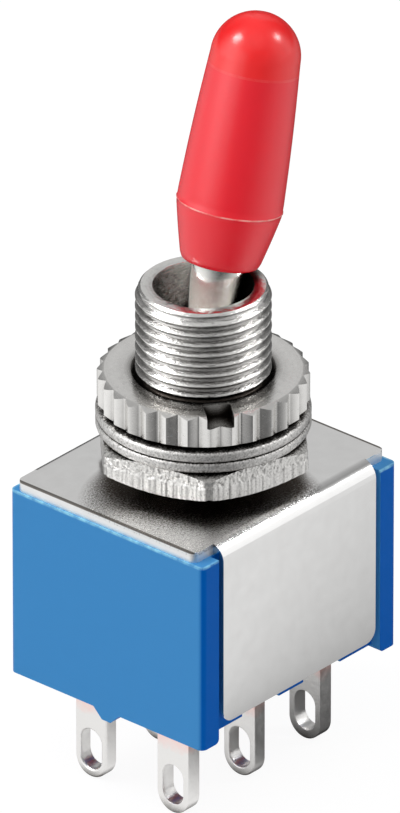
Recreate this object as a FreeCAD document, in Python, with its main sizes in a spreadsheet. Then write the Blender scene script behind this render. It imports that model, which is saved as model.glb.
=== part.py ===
# Miniature two-pole panel toggle switch, in millimetres.
# Z runs up the bushing, X is the way the lever is thrown, Y is the hinge line.
# The origin is under the bushing, level with the tips of the solder lugs.
# "Up" and "down" in a size are measured from the top face of the mounting plate.

import FreeCAD
import Part

import math
import os
import re

import Sketcher

SIZES = [
    # Mounting frame, folded from one sheet
    ("plate_thick", 0.5),
    ("plate_inset", 0.17),
    ("plate_edge_round", 0.14),
    ("flap_gap", 0.3),
    ("flap_short", 0.55),
    ("flap_round", 0.6),
    ("bend_round", 0.75),
    ("tab_wide", 2.4),
    ("tab_apart", 4.1),
    ("tab_under", 1.25),
    ("tab_past", 0.15),
    ("tab_fit", 0.03),
    # Moulded case
    ("case_long", 13.0),
    ("case_wide", 11.2),
    ("case_tall", 9.1),
    ("corner_round", 0.3),
    ("foot_round", 0.22),
    ("end_wall", 1.2),
    ("side_wall", 1.0),
    ("post_wide", 1.1),
    ("pan_deep", 0.85),
    ("floor_thick", 1.15),
    ("skirt_drop", 0.25),
    ("rib_drop", 0.5),
    ("rib_root_wide", 1.5),
    ("rib_tip_wide", 0.5),
    ("barrier_wide", 0.8),
    ("barrier_tall", 1.2),
    ("seal_thick", 0.35),
    # Bushing
    ("bushing_r", 3.0),
    ("thread_core_r", 2.84),
    ("core_past", 0.1),
    ("bushing_up", 9.0),
    ("rim_bevel", 0.25),
    ("mouth_r", 2.215),
    ("throat_r", 1.45),
    ("seat_lean", 38.0),
    ("lower_bore_r", 2.5),
    ("flange_r", 3.7),
    ("flange_thick", 0.45),
    # Lever and its hinge
    ("pivot_up", 5.5),
    ("lever_tilt", 14.5),
    ("ball_r", 1.8),
    ("ball_fit", 0.05),
    ("neck_r", 0.95),
    ("shank_r", 1.2),
    ("lever_tip_r", 1.45),
    ("lever_up", 14.6),
    ("lever_bevel", 0.5),
    ("tail_r", 0.75),
    ("tail_in", 1.6),
    ("pin_r", 0.35),
    ("pin_long", 4.7),
    ("pin_fit", 0.03),
    # Plastic sleeve on the lever
    ("sleeve_up", 15.95),
    ("sleeve_long", 11.7),
    ("ridge_down", 8.95),
    ("ridge_r", 2.375),
    ("dome_r", 1.93),
    ("sleeve_end_r", 1.75),
    # Nuts and washers on the bushing
    ("thread_fit", 0.02),
    ("hex_up", 0.7),
    ("hex_flats", 9.0),
    ("hex_thick", 1.42),
    ("hex_bevel", 0.3),
    ("hex_turn", 43.6),
    ("washer_r", 4.75),
    ("washer_thick", 0.5),
    ("washer_bore_r", 3.1),
    ("washer_edge", 0.1),
    ("tooth_root_r", 3.95),
    ("tooth_gap", 0.55),
    ("face_nut_r", 4.675),
    ("face_nut_tall", 1.42),
    ("seat_r", 4.1),
    ("seat_bevel", 0.31),
    ("face_top_r", 4.4),
    ("face_bevel", 0.14),
    ("sink_r", 3.35),
    ("sink_deep", 0.3),
    ("flute_deep", 0.26),
    ("flute_half_angle", 5.7),
    ("slot_wide", 1.2),
    ("slot_deep", 0.55),
    ("slot_in_r", 3.45),
    ("slot_turn", 50.5),
    # Yoke on the lever's tail, with a sprung plunger for each pole
    ("pole_apart", 4.8),
    ("yoke_over", 1.05),
    ("yoke_tall", 3.2),
    ("yoke_thick", 2.6),
    ("yoke_wide", 7.0),
    ("yoke_round", 0.4),
    ("yoke_roof", 0.5),
    ("plunger_r", 0.7),
    ("plunger_fit", 0.05),
    ("plunger_travel", 0.42),
    ("spring_long", 1.4),
    ("spring_wire_r", 0.09),
    ("spring_coil_r", 0.5),
    ("spring_pitch", 0.42),
    ("stem_r", 0.32),
    ("stem_long", 0.5),
    # Rocking contacts
    ("rocker_axis_up", 1.45),
    ("rocker_bend", 8.0),
    ("rocker_thick", 0.4),
    ("rocker_wide", 1.9),
    ("rocker_past", 0.1),
    ("crest_up", 0.15),
    ("fulcrum_r", 0.6),
    ("contact_gap", 0.02),
    # Terminals
    ("lug_out", 4.9),
    ("lug_inset", 0.87),
    ("lug_thick", 0.75),
    ("lug_wide", 1.8),
    ("lug_hole_wide", 1.2),
    ("lug_hole_long", 1.95),
    ("lug_hole_rim", 0.42),
    ("slot_fit", 0.03),
    ("foot_long", 1.5),
    ("foot_thick", 0.45),
    ("stud_r", 0.6),
    ("stud_in", 0.55),
    ("cradle_long", 2.0),
    ("cradle_lip", 0.4),
    ("cradle_fit", 0.05),
]

# Sizes that follow from others, with heights above the longest lug tips
LEVELS = [
    ("flap_wide", "case_long - 2 * (post_wide + flap_gap)"),
    ("cavity_deep", "case_tall - floor_thick - pan_deep"),
    ("plate_top", "lug_out + case_tall + plate_thick"),
    ("case_top", "plate_top - plate_thick"),
    ("floor_top", "case_top - cavity_deep"),
    ("floor_base", "floor_top - floor_thick"),
    ("pivot_z", "plate_top + pivot_up"),
    ("rocker_z", "floor_top + rocker_axis_up"),
    ("yoke_down", "pivot_z - rocker_z - yoke_tall - yoke_over"),
    ("tail_down", "yoke_down + tail_in"),
    ("washer_z", "plate_top + hex_up + hex_thick"),
    ("face_nut_z", "washer_z + 2 * washer_thick"),
    ("arm_top", "crest_up * cos(rocker_bend)"),
    ("pole_y", "pole_apart / 2"),
    ("lug_x", "case_long / 2 - end_wall - lug_inset"),
    ("rocker_reach", "lug_x + rocker_past"),
]

FLUTES = 30
LOCK_TEETH = 10

doc = FreeCAD.newDocument("ToggleSwitch")
sheet = doc.addObject("Spreadsheet::Sheet", "Sizes")


def bind(text):
    """Point each size's name in a formula at its cell."""
    return re.sub(r"[a-z][a-z_]*", lambda m: "Sizes." + m[0] if m[0] in ALIASES else m[0], text)


ALIASES = {name for name, _ in SIZES + LEVELS}
for row, (name, size) in enumerate(SIZES + LEVELS, start=1):
    sheet.set(f"A{row}", name)
    sheet.set(f"B{row}", "=" + bind(size).replace("Sizes.", "") if isinstance(size, str) else str(size))
    sheet.setAlias(f"B{row}", name)
doc.recompute()


# Sketching and shaping helpers

def worth(text):
    """A formula's present value."""
    return float(sheet.evalExpression(bind(text)))


def start_body(label):
    body = doc.addObject("PartDesign::Body", label)
    body.Label = label
    return body


def sketch_on(body, name, role, lift=None):
    """A sketch on one of the body's own planes, raised along its normal by lift."""
    sketch = body.newObject("Sketcher::SketchObject", f"{body.Label}_{name}")
    plane = next(item for item in body.Origin.OriginFeatures if item.Role == role)
    sketch.AttachmentSupport = [(plane, "")]
    sketch.MapMode = "FlatFace"
    if lift:
        sketch.setExpression("AttachmentOffset.Base.z", bind(lift))
    return sketch


def fix(sketch, kind, target, text):
    """One driving dimension of a sketch."""
    index = sketch.addConstraint(Sketcher.Constraint(kind, *target, worth(text)))
    sketch.setExpression(f"Constraints[{index}]", bind(text))


def arc_between(start, end, radius, turn):
    """The shorter arc from start to end, turning left (ccw) or right (cw)."""
    first, last = (start, end) if turn == "ccw" else (end, start)
    chord = last - first
    rise = math.sqrt(max(radius ** 2 - (chord.Length / 2) ** 2, 0.0))
    left = FreeCAD.Vector(-chord.y, chord.x, 0).normalize()
    centre = (first + last) * 0.5 + left * rise
    circle = Part.Circle(centre, FreeCAD.Vector(0, 0, 1), radius)
    angles = [math.atan2(point.y - centre.y, point.x - centre.x) for point in (first, last)]
    return Part.ArcOfCircle(circle, *angles)


def trace(sketch, outline):
    """A closed outline: (x, y) ends a straight edge, (x, y, radius, turn) ends an arc."""
    points = [FreeCAD.Vector(worth(point[0]), worth(point[1]), 0) for point in outline]
    ends = []
    for index, point in enumerate(outline):
        start, end = points[index - 1], points[index]
        if len(point) == 2:
            edge = sketch.addGeometry(Part.LineSegment(start, end))
            ends.append((edge, 1, 2))
            continue
        edge = sketch.addGeometry(arc_between(start, end, worth(point[2]), point[3]))
        ends.append((edge, 1, 2) if point[3] == "ccw" else (edge, 2, 1))
    for index, point in enumerate(outline):
        edge, _, tail = ends[index]
        following, head, _ = ends[(index + 1) % len(ends)]
        sketch.addConstraint(Sketcher.Constraint("Coincident", edge, tail, following, head))
        fix(sketch, "DistanceX", (-1, 1, edge, tail), point[0])
        fix(sketch, "DistanceY", (-1, 1, edge, tail), point[1])
        if len(point) == 4:
            fix(sketch, "Radius", (edge,), point[2])


def rectangle(sketch, left, low, right, high):
    trace(sketch, [(left, low), (right, low), (right, high), (left, high)])


def centred_rectangle(sketch, wide, deep, x="0", y="0"):
    rectangle(sketch, f"{x} - ({wide}) / 2", f"{y} - ({deep}) / 2",
              f"{x} + ({wide}) / 2", f"{y} + ({deep}) / 2")


def circle(sketch, x, y, radius):
    centre = FreeCAD.Vector(worth(x), worth(y), 0)
    edge = sketch.addGeometry(Part.Circle(centre, FreeCAD.Vector(0, 0, 1), worth(radius)))
    fix(sketch, "DistanceX", (-1, 1, edge, 3), x)
    fix(sketch, "DistanceY", (-1, 1, edge, 3), y)
    fix(sketch, "Radius", (edge,), radius)


def feature(body, kind, name, sketch=None):
    made = body.newObject(f"PartDesign::{kind}", f"{body.Label}_{name}")
    if sketch:
        made.Profile = sketch
        sketch.Visibility = False
    return made


def pad(body, name, sketch, length, side="One side", down=False):
    made = feature(body, "Pad", name, sketch)
    made.SideType = side
    made.Reversed = down
    made.setExpression("Length", bind(length))
    return made


def pocket(body, name, sketch, length=None, side="One side", up=False):
    """Cuts against the sketch's normal, or along it when up is set."""
    made = feature(body, "Pocket", name, sketch)
    made.SideType = side
    made.Reversed = up
    if length:
        made.setExpression("Length", bind(length))
    else:
        made.Type = "ThroughAll"
    return made


def revolve(body, name, sketch, kind="Revolution"):
    made = feature(body, kind, name, sketch)
    made.ReferenceAxis = (sketch, ["V_Axis"])
    made.Angle = 360
    return made


def ring_pattern(body, name, original, count):
    """Copies of one feature all round the body's Z axis."""
    made = body.newObject("PartDesign::PolarPattern", f"{body.Label}_{name}")
    made.Originals = [original]
    axis = next(item for item in body.Origin.OriginFeatures if item.Role == "Z_Axis")
    made.Axis = (axis, [""])
    made.Angle = 360
    made.Occurrences = count
    body.Tip = made
    return made


def mirror(body, name, originals, role):
    """Mirrors some features, or the whole body where none are named."""
    doc.recompute()
    made = body.newObject("PartDesign::Mirrored", f"{body.Label}_{name}")
    if originals:
        made.Originals = originals
    else:
        made.TransformMode = "Whole shape"
    plane = next(item for item in body.Origin.OriginFeatures if item.Role == role)
    made.MirrorPlane = (plane, [""])
    body.Tip = made
    return made


def soften(body, name, size, wanted, kind="Fillet"):
    """Rounds or bevels the edges of the body's present shape that are wanted."""
    doc.recompute()
    base = body.Tip
    names = [f"Edge{i}" for i, edge in enumerate(base.Shape.Edges, start=1) if wanted(edge)]
    made = feature(body, kind, name)
    made.Base = (base, names)
    made.setExpression("Radius" if kind == "Fillet" else "Size", bind(size))
    return made


def near(value, text, slack=0.001):
    return abs(value - worth(text)) < slack


def runs_along(edge, axis):
    """True for a straight edge that lies along x, y or z."""
    if edge.Curve.TypeId != "Part::GeomLine":
        return False
    others = [name for name in ("X", "Y", "Z") if name != axis]
    return all(getattr(edge.BoundBox, f"{name}Length") < 0.001 for name in others)


def place(body, x="0", y="0", z="0", turn=None, axis=(0, 0, 1)):
    """Sets the body's place in the switch, with one turn about an axis."""
    body.Placement = FreeCAD.Placement(
        FreeCAD.Vector(0, 0, 0), FreeCAD.Rotation(FreeCAD.Vector(*axis), 1.0 if turn else 0.0))
    if turn:
        body.setExpression("Placement.Rotation.Angle", bind(turn))
    for letter, text in (("x", x), ("y", y), ("z", z)):
        body.setExpression(f"Placement.Base.{letter}", bind(text))


# Moulded case, open at the top, local height 0 at its rim

def make_case():
    body = start_body("case")
    plan = sketch_on(body, "plan", "XY_Plane")
    centred_rectangle(plan, "case_long", "case_wide")
    pad(body, "block", plan, "case_tall", down=True)
    soften(body, "corners", "corner_round", lambda edge: runs_along(edge, "Z"))

    sides = sketch_on(body, "flap_beds", "XY_Plane")
    bed_y = "case_wide / 2 - plate_thick"
    bed_x = "case_long / 2 - post_wide"
    rectangle(sides, f"-({bed_x})", bed_y, bed_x, "case_wide / 2 + 1")
    rectangle(sides, f"-({bed_x})", "-(case_wide / 2 + 1)", bed_x, f"-({bed_y})")
    pocket(body, "flap_beds", sides, "case_tall")

    skirt = sketch_on(body, "skirt", "XZ_Plane")
    rectangle(skirt, f"-({bed_x})", "-case_tall - 1", bed_x, "-case_tall + skirt_drop")
    pocket(body, "skirt", skirt, "case_wide + 1", side="Symmetric")
    post_low = lambda edge: runs_along(edge, "Y") and near(edge.BoundBox.ZMin, "-case_tall")
    inner = lambda edge: near(abs(edge.BoundBox.XMin), bed_x)
    soften(body, "post_feet", "foot_round", lambda edge: post_low(edge) and inner(edge))

    cavity = sketch_on(body, "cavity", "XY_Plane")
    room_y = "case_wide - 2 * plate_thick - 2 * side_wall"
    centred_rectangle(cavity, "case_long - 2 * end_wall", room_y)
    pocket(body, "cavity", cavity, "cavity_deep")

    nests = sketch_on(body, "tab_nests", "XY_Plane", "-case_tall - 1")
    nest_y = "case_wide / 2 - tab_under - tab_fit"
    for x in ("-tab_apart / 2", "tab_apart / 2"):
        for low, high in ((nest_y, "case_wide / 2 + 1"), ("-(case_wide / 2 + 1)", f"-({nest_y})")):
            rectangle(nests, f"{x} - tab_wide / 2 - tab_fit", low, f"{x} + tab_wide / 2 + tab_fit", high)
    pocket(body, "tab_nests", nests, "1 + skirt_drop + flap_short - tab_past + plate_thick", up=True)

    pan = sketch_on(body, "pan", "XY_Plane", "-case_tall")
    centred_rectangle(pan, "case_long - 2 * end_wall", room_y)
    pocket(body, "pan", pan, "pan_deep", up=True)

    rib = sketch_on(body, "rib", "YZ_Plane")
    trace(rib, [("-rib_root_wide / 2", "-cavity_deep - floor_thick"),
                ("-rib_root_wide / 2", "-case_tall"),
                ("-rib_tip_wide / 2", "-case_tall - rib_drop"),
                ("rib_tip_wide / 2", "-case_tall - rib_drop"),
                ("rib_root_wide / 2", "-case_tall"),
                ("rib_root_wide / 2", "-cavity_deep - floor_thick")])
    pad(body, "rib", rib, "case_long", side="Symmetric")

    barrier = sketch_on(body, "barrier", "XY_Plane", "-cavity_deep")
    centred_rectangle(barrier, "case_long - 2 * end_wall", "barrier_wide")
    pad(body, "barrier", barrier, "barrier_tall")

    slots = sketch_on(body, "lug_slots", "XY_Plane", "-cavity_deep")
    lug_slots(slots, ("-pole_y", "pole_y"))
    pocket(body, "lug_slots", slots, "floor_thick")
    place(body, z="case_top")


def lug_slots(sketch, rows):
    """Openings for a row of three lugs at each height in rows."""
    for y in rows:
        for x in ("-lug_x", "0", "lug_x"):
            centred_rectangle(sketch, "lug_thick + 2 * slot_fit", "lug_wide + 2 * slot_fit", x, y)


# Resin seal poured round one row of lugs, local height 0 at the underside of the case floor

def make_seal(label, side):
    body = start_body(label)
    outer = "case_wide / 2 - plate_thick - side_wall"
    pour = sketch_on(body, "pour", "XY_Plane")
    low, high = "rib_root_wide / 2", outer
    if side < 0:
        low, high = f"-({outer})", "-rib_root_wide / 2"
    rectangle(pour, "-case_long / 2 + end_wall", low, "case_long / 2 - end_wall", high)
    pad(body, "pour", pour, "seal_thick", down=True)
    slots = sketch_on(body, "lug_slots", "XY_Plane")
    lug_slots(slots, ("pole_y" if side > 0 else "-pole_y",))
    pocket(body, "lug_slots", slots, "seal_thick")
    place(body, z="floor_base")


# Frame: mounting plate with two flaps folded down and crimped under the case,
# local height 0 at the top of the plate, one half drawn and mirrored

FLAP_FACE = "case_wide / 2"
FLAP_BACK = "case_wide / 2 - plate_thick"
WALL_BASE = "-plate_thick - case_tall + skirt_drop"
FLAP_BASE = f"{WALL_BASE} + flap_short"


def make_frame():
    body = start_body("frame")
    plan = sketch_on(body, "plan", "XY_Plane")
    end, side = "case_long / 2 - plate_inset", "case_wide / 2 - plate_inset"
    bend = "case_wide / 2 - bend_round"
    trace(plan, [(f"-({end})", "0"), (end, "0"), (end, side), ("flap_wide / 2", side),
                 ("flap_wide / 2", bend), ("-flap_wide / 2", bend), ("-flap_wide / 2", side),
                 (f"-({end})", side)])
    pad(body, "plate", plan, "plate_thick", down=True)
    on_top = lambda edge: near(edge.BoundBox.ZMin, "0") and edge.BoundBox.YMax > 0.1
    outer = lambda edge: near(abs(edge.BoundBox.XMin), end) or near(edge.BoundBox.YMin, side)
    soften(body, "plate_rim", "plate_edge_round", lambda edge: on_top(edge) and outer(edge))

    flap = sketch_on(body, "flap", "YZ_Plane")
    trace(flap, [("0", "-plate_thick"), (FLAP_BACK, "-plate_thick"), (FLAP_BACK, FLAP_BASE),
                 (FLAP_FACE, FLAP_BASE), (FLAP_FACE, "-bend_round"),
                 (f"{FLAP_FACE} - bend_round", "0", "bend_round", "ccw"), ("0", "0")])
    pad(body, "flap", flap, "flap_wide", side="Symmetric")
    low_corner = lambda edge: runs_along(edge, "Y") and near(edge.BoundBox.ZMin, FLAP_BASE)
    soften(body, "flap_corners", "flap_round", low_corner)

    tab = sketch_on(body, "tab", "YZ_Plane", "tab_apart / 2")
    fold_end = f"{FLAP_FACE} - tab_under"
    fold_base = f"{FLAP_BASE} - tab_past"
    fold_top = f"{fold_base} + plate_thick"
    trace(tab, [(FLAP_BACK, f"{FLAP_BASE} + flap_round"), (FLAP_BACK, fold_top),
                (fold_end, fold_top), (fold_end, fold_base), (FLAP_BACK, fold_base),
                (FLAP_FACE, fold_top, "plate_thick", "ccw"),
                (FLAP_FACE, f"{FLAP_BASE} + flap_round")])
    one_tab = pad(body, "tab", tab, "tab_wide", side="Symmetric")
    mirror(body, "second_tab", [one_tab], "YZ_Plane")
    mirror(body, "second_half", [], "XZ_Plane")

    hole = sketch_on(body, "bushing_hole", "XY_Plane")
    circle(hole, "0", "0", "thread_core_r + thread_fit")
    pocket(body, "bushing_hole", hole, "plate_thick")
    place(body, z="plate_top")


# Bushing, turned, with a conical seat for the lever's ball and a groove for its pin.
# Where the nuts engage, its thread is drawn at the pitch line, and above them at its crests.

def make_bushing():
    body = start_body("bushing")
    profile = sketch_on(body, "profile", "XZ_Plane")
    bottom = "-plate_thick - flange_thick"
    ball_room = "(ball_r + ball_fit)"
    cone_foot = f"{ball_room} / cos(seat_lean)"
    core_up = "face_nut_z + seat_bevel + face_nut_tall + core_past - plate_top"
    trace(profile, [("lower_bore_r", bottom), ("flange_r", bottom), ("flange_r", "-plate_thick"),
                    ("thread_core_r", "-plate_thick"), ("thread_core_r", core_up),
                    ("bushing_r", core_up), ("bushing_r", "bushing_up - rim_bevel"),
                    ("bushing_r - rim_bevel", "bushing_up"), ("mouth_r", "bushing_up"),
                    ("throat_r", f"pivot_up + ({cone_foot} - throat_r) / tan(seat_lean)"),
                    (ball_room, f"pivot_up + ({cone_foot} - {ball_room}) / tan(seat_lean)"),
                    (ball_room, "pivot_up")])
    revolve(body, "turned", profile)
    groove = sketch_on(body, "pin_groove", "XZ_Plane")
    half = "(pin_r + pin_fit)"
    trace(groove, [(f"-{half}", f"{bottom} - 1"), (half, f"{bottom} - 1"), (half, "pivot_up"),
                   ("0", f"pivot_up + {half}", half, "ccw"), (f"-{half}", "pivot_up", half, "ccw")])
    pocket(body, "pin_groove", groove, "pin_long + 4 * pin_fit", side="Symmetric")
    place(body, z="plate_top")


# Lever, its pin, sleeve and yoke, local origin at the pivot with the lever upright

def tilt(body, y="0", more="0"):
    """Leans a piece of the lever with it, and shifts it along the lever by more."""
    place(body, f"({more}) * sin(lever_tilt)", y, f"pivot_z + ({more}) * cos(lever_tilt)",
          "lever_tilt", (0, 1, 0))


SLEEVE_MOUTH = "(sleeve_up - sleeve_long)"


def lever_top():
    """The lever's outline inside the sleeve, from the sleeve's mouth to the lever's end."""
    return [("shank_r", SLEEVE_MOUTH), ("lever_tip_r", "lever_up - lever_bevel"),
            ("lever_tip_r - lever_bevel", "lever_up"), ("0", "lever_up")]


def make_lever():
    body = start_body("lever")
    profile = sketch_on(body, "profile", "XZ_Plane")
    trace(profile, [("0", "-tail_down"), ("tail_r", "-tail_down"),
                    ("tail_r", "-sqrt(ball_r^2 - tail_r^2)"),
                    ("neck_r", "sqrt(ball_r^2 - neck_r^2)", "ball_r", "ccw")] + lever_top())
    revolve(body, "turned", profile)
    bore = sketch_on(body, "pin_hole", "XZ_Plane")
    circle(bore, "0", "0", "pin_r")
    pocket(body, "pin_hole", bore, side="Symmetric")
    tilt(body)


def make_pivot_pin():
    body = start_body("pivot_pin")
    end = sketch_on(body, "end", "XZ_Plane")
    circle(end, "0", "0", "pin_r")
    pad(body, "rod", end, "pin_long", side="Symmetric")
    tilt(body)


def make_sleeve():
    body = start_body("lever_sleeve")
    profile = sketch_on(body, "profile", "XZ_Plane")
    trace(profile, lever_top() + [
        ("0", "sleeve_up"), ("dome_r", "sleeve_up - dome_r", "dome_r", "cw"),
        ("ridge_r", "sleeve_up - ridge_down"), ("sleeve_end_r", SLEEVE_MOUTH)])
    revolve(body, "moulded", profile)
    tilt(body)


def make_yoke():
    body = start_body("actuator_yoke")
    plan = sketch_on(body, "plan", "XY_Plane", "-yoke_down")
    centred_rectangle(plan, "yoke_thick", "yoke_wide")
    pad(body, "block", plan, "yoke_tall", down=True)
    soften(body, "corners", "yoke_round", lambda edge: runs_along(edge, "Z"))
    socket = sketch_on(body, "tail_socket", "XY_Plane", "-yoke_down")
    circle(socket, "0", "0", "tail_r")
    pocket(body, "tail_socket", socket, "tail_down - yoke_down")
    bores = sketch_on(body, "plunger_bores", "XY_Plane", "-yoke_down - yoke_tall")
    for y in ("-pole_y", "pole_y"):
        circle(bores, "0", y, "plunger_r + plunger_fit")
    pocket(body, "plunger_bores", bores, "yoke_tall - yoke_roof", up=True)
    tilt(body)


# Plungers and springs, local origin at the roof of the plunger bore

PLUNGER_BACK = "(-spring_long)"
NOSE_Z = "(rocker_z + arm_top + contact_gap + plunger_r)"
NOSE = f"((yoke_down + yoke_roof) - ((pivot_z - {NOSE_Z}) / cos(lever_tilt) - plunger_travel))"
BORE_ROOF = "-(yoke_down + yoke_roof)"


def make_plunger(label, y):
    body = start_body(label)
    profile = sketch_on(body, "profile", "XZ_Plane")
    trace(profile, [("0", f"{NOSE} - plunger_r"), ("plunger_r", NOSE, "plunger_r", "ccw"),
                    ("plunger_r", PLUNGER_BACK), ("stem_r", PLUNGER_BACK),
                    ("stem_r", f"{PLUNGER_BACK} + stem_long"), ("0", f"{PLUNGER_BACK} + stem_long")])
    revolve(body, "turned", profile)
    tilt(body, y, BORE_ROOF)


def make_spring(label, y):
    body = start_body(label)
    wire = sketch_on(body, "wire", "XZ_Plane")
    middle = f"({PLUNGER_BACK} + spring_wire_r + contact_gap)"
    trace(wire, [(f"spring_coil_r + spring_wire_r * cos({90 * i})",
                  f"{middle} + spring_wire_r * sin({90 * i})") for i in range(4)])
    coil = feature(body, "AdditiveHelix", "coil", wire)
    coil.ReferenceAxis = (wire, ["V_Axis"])
    coil.Mode = "pitch-height-angle"
    coil.setExpression("Pitch", bind("spring_pitch"))
    coil.setExpression("Height", bind("spring_long - 2 * spring_wire_r - 2 * contact_gap"))
    tilt(body, y, BORE_ROOF)


# Rocking contact, a bent strip on a half-round fulcrum, local origin on the fulcrum's axis

def make_rocker(label, y):
    body = start_body(label)
    run = "rocker_reach * cos(rocker_bend)"
    rise = "crest_up + rocker_reach * sin(rocker_bend)"
    step_x = "rocker_thick * sin(rocker_bend)"
    step_z = "rocker_thick * cos(rocker_bend)"
    strip = sketch_on(body, "strip", "XZ_Plane")
    trace(strip, [("0", "crest_up"), (f"-({run})", rise), (f"-({run} + {step_x})", f"{rise} - {step_z}"),
                  ("0", "crest_up - rocker_thick / cos(rocker_bend)"),
                  (f"{run} + {step_x}", f"{rise} - {step_z}"), (run, rise)])
    pad(body, "strip", strip, "rocker_wide", side="Symmetric")
    fulcrum = sketch_on(body, "fulcrum", "XZ_Plane")
    trace(fulcrum, [("-fulcrum_r", "0"), ("0", "-fulcrum_r", "fulcrum_r", "ccw"),
                    ("fulcrum_r", "0", "fulcrum_r", "ccw")])
    pad(body, "fulcrum", fulcrum, "rocker_wide", side="Symmetric")
    place(body, y=y, z="rocker_z", turn="-rocker_bend", axis=(0, 1, 0))


# Terminals, local height 0 at the top of the case floor

LUG_TIP = "-floor_top"


def start_terminal(label):
    """The blade through the floor and the solder lug with its long hole."""
    body = start_body(label)
    blade = sketch_on(body, "blade", "YZ_Plane")
    half = "lug_wide / 2"
    trace(blade, [(f"-{half}", "foot_thick"), (f"-{half}", f"{LUG_TIP} + {half}"),
                  ("0", LUG_TIP, half, "ccw"), (half, f"{LUG_TIP} + {half}", half, "ccw"),
                  (half, "foot_thick")])
    pad(body, "blade", blade, "lug_thick", side="Symmetric")
    hole = sketch_on(body, "lug_hole", "YZ_Plane")
    eye = "lug_hole_wide / 2"
    low = f"{LUG_TIP} + lug_hole_rim + {eye}"
    high = f"{LUG_TIP} + lug_hole_rim + lug_hole_long - {eye}"
    trace(hole, [(eye, high), ("0", f"{high} + {eye}", eye, "ccw"),
                 (f"-{eye}", high, eye, "ccw"), (f"-{eye}", low),
                 ("0", f"{low} - {eye}", eye, "ccw"), (eye, low, eye, "ccw")])
    pocket(body, "lug_hole", hole, side="Symmetric")
    return body


def make_outer_terminal(label, x, y, turn):
    body = start_terminal(label)
    foot = sketch_on(body, "foot", "XY_Plane")
    rectangle(foot, "-lug_thick / 2", "-lug_wide / 2", "-lug_thick / 2 + foot_long", "lug_wide / 2")
    pad(body, "foot", foot, "foot_thick")
    place(body, x, y, "floor_top", turn)


def make_centre_terminal(label, y):
    body = start_terminal(label)
    cradle = sketch_on(body, "cradle", "XZ_Plane")
    trough_r = "(fulcrum_r + cradle_fit)"
    trough_x = f"sqrt({trough_r}^2 - cradle_lip^2)"
    lip = "rocker_axis_up - cradle_lip"
    trace(cradle, [("-cradle_long / 2", "0"), ("cradle_long / 2", "0"), ("cradle_long / 2", lip),
                   (trough_x, lip), (f"-{trough_x}", lip, trough_r, "cw"),
                   ("-cradle_long / 2", lip)])
    pad(body, "cradle", cradle, "lug_wide", side="Symmetric")
    place(body, "0", y, "floor_top")


def make_contact(label, x, y):
    """Contact stud on an outer terminal's foot, as tall as the level arm lets it be."""
    body = start_body(label)
    tall = "(rocker_axis_up + arm_top - rocker_thick - contact_gap - foot_thick)"
    profile = sketch_on(body, "profile", "XZ_Plane")
    rectangle(profile, "0", "0", "stud_r", tall)
    revolve(body, "turned", profile)
    place(body, x, y, "floor_top + foot_thick")


# Nuts and washers, local height 0 at the underside

def bored_disc(body, radius, thick, bore, edge):
    """A flat ring with both outer edges softened."""
    profile = sketch_on(body, "profile", "XZ_Plane")
    trace(profile, [(bore, "0"), (f"{radius} - {edge}", "0"), (radius, edge),
                    (radius, f"{thick} - {edge}"), (f"{radius} - {edge}", thick), (bore, thick)])
    return revolve(body, "ring", profile)


def make_plain_washer():
    body = start_body("plain_washer")
    bored_disc(body, "washer_r", "washer_thick", "washer_bore_r", "washer_edge")
    place(body, z="washer_z")


def make_lock_washer():
    body = start_body("lock_washer")
    bored_disc(body, "washer_r", "washer_thick", "washer_bore_r", "washer_edge")
    gap = sketch_on(body, "tooth_gap", "XY_Plane")
    rectangle(gap, "0", "-tooth_gap / 2", "tooth_root_r", "tooth_gap / 2")
    cut = pocket(body, "tooth_gap", gap, "washer_thick", up=True)
    ring_pattern(body, "teeth", cut, LOCK_TEETH)
    place(body, z="washer_z + washer_thick")


def make_hex_nut():
    body = start_body("hex_nut")
    corner = "(hex_flats / sqrt(3))"
    plan = sketch_on(body, "plan", "XY_Plane")
    trace(plan, [(f"{corner} * cos({60 * i})", f"{corner} * sin({60 * i})") for i in range(6)])
    circle(plan, "0", "0", "thread_core_r + thread_fit")
    pad(body, "blank", plan, "hex_thick")
    bevel = sketch_on(body, "bevel", "XZ_Plane")
    past = f"({corner} + 1)"
    trace(bevel, [("hex_flats / 2", "0"), (past, "0"),
                  (past, f"hex_bevel * ({past} - hex_flats / 2) / ({corner} - hex_flats / 2)")])
    revolve(body, "bevel", bevel, "Groove")
    place(body, z="plate_top + hex_up", turn="hex_turn")


def make_face_nut():
    body = start_body("face_nut")
    top = "seat_bevel + face_nut_tall"
    bore = "thread_core_r + thread_fit"
    profile = sketch_on(body, "profile", "XZ_Plane")
    trace(profile, [(bore, "0"), ("seat_r", "0"), ("face_nut_r", "seat_bevel"),
                    ("face_nut_r", f"{top} - face_bevel"), ("face_top_r", top), ("sink_r", top),
                    (bore, f"{top} - sink_deep")])
    revolve(body, "turned", profile)
    flute = sketch_on(body, "flute", "XY_Plane")
    reach = "(face_nut_r + 0.2)"
    wide = f"{reach} * tan(flute_half_angle) * (flute_deep + 0.2) / flute_deep"
    trace(flute, [("face_nut_r - flute_deep", "0"), (reach, f"-{wide}"), (reach, wide)])
    cut = pocket(body, "flute", flute, up=True)
    ring_pattern(body, "flutes", cut, FLUTES)
    slots = sketch_on(body, "spanner_slots", "XY_Plane", f"{top} - slot_deep")
    rectangle(slots, "slot_in_r", "-slot_wide / 2", "face_nut_r + 1", "slot_wide / 2")
    rectangle(slots, "-face_nut_r - 1", "-slot_wide / 2", "-slot_in_r", "slot_wide / 2")
    pocket(body, "spanner_slots", slots, up=True)
    place(body, z="face_nut_z", turn="slot_turn")


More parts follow.
